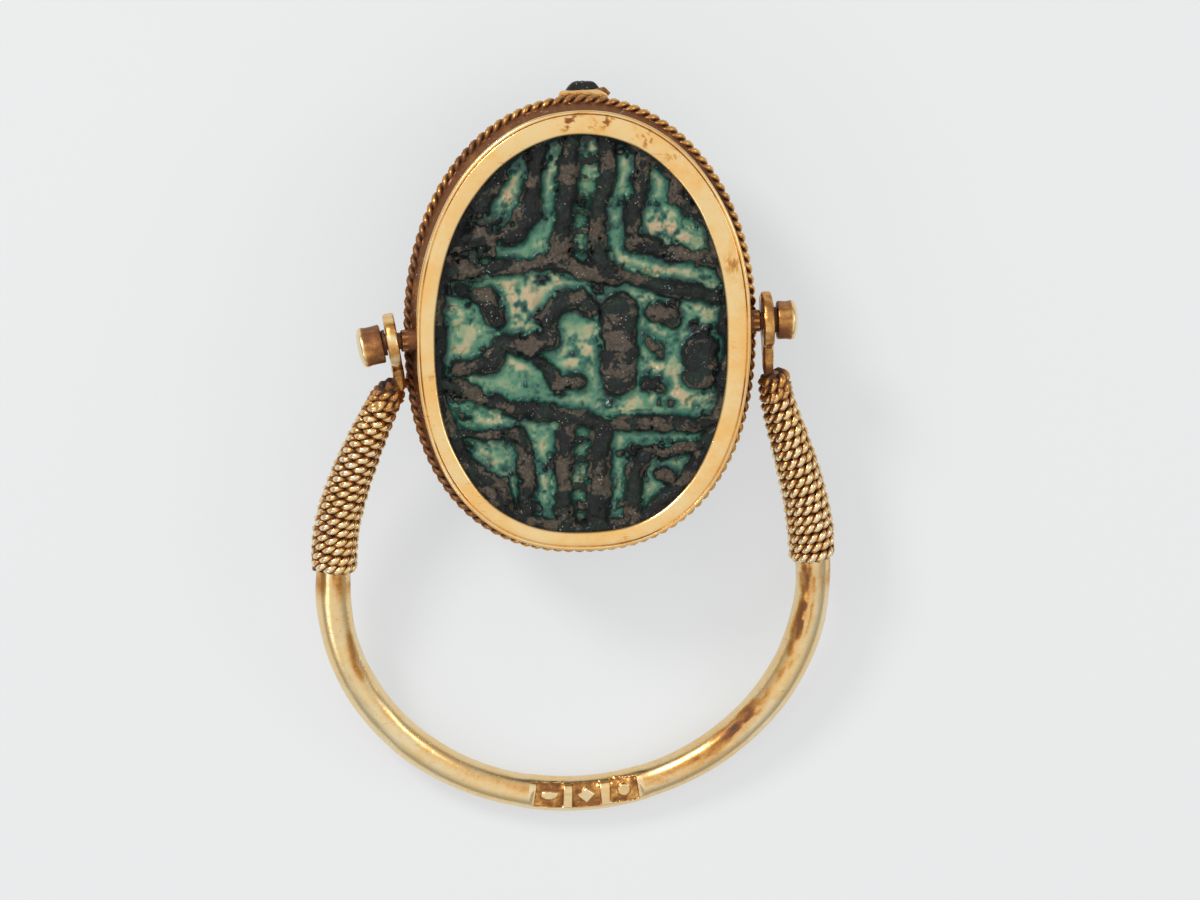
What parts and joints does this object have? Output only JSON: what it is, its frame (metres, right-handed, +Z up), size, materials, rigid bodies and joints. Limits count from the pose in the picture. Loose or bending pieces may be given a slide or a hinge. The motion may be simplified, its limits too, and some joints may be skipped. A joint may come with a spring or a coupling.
{
  "type": "scarab amulet",
  "caption": "Scarab amulet: a glazed stone beetle with a carved oval base, in a gold bezel that turns on two pins between the ends of a wire-wrapped ring hoop.",
  "frame": {"origin": "under the middle of the whole object, on the surface it lies on", "axes": "+Z up, out of the carved base; +Y along the object towards the beetle's head; +X across it, to the right as the carved base is looked at with the head at the top"},
  "size_m": [0.021, 0.03, 0.0064],
  "materials": {
    "gold": "polished gold, pale yellow, worn, with orange and brown tarnish in the corners",
    "worn_gold": "gold with brown tarnish and packed dirt, bright on the high spots",
    "glazed_stone": "steatite with a worn green glaze, black and brown where the glaze has gone"
  },
  "bodies": {
    "shank": {"hoop": "gold", "wire_wrap_left": "gold", "wire_wrap_right": "gold", "pin_left": "worn_gold", "pin_right": "worn_gold"},
    "head": {"scarab": "glazed_stone", "bezel": "gold", "border_wire": "worn_gold"}
  },
  "joints": [
    {"name": "swivel", "type": "hinge", "parent": "shank", "child": "head", "pos_m": [0.00016, 0.0053, 0.0052], "axis": [0.999, 0.0454, 0], "continuous": true}
  ]
}
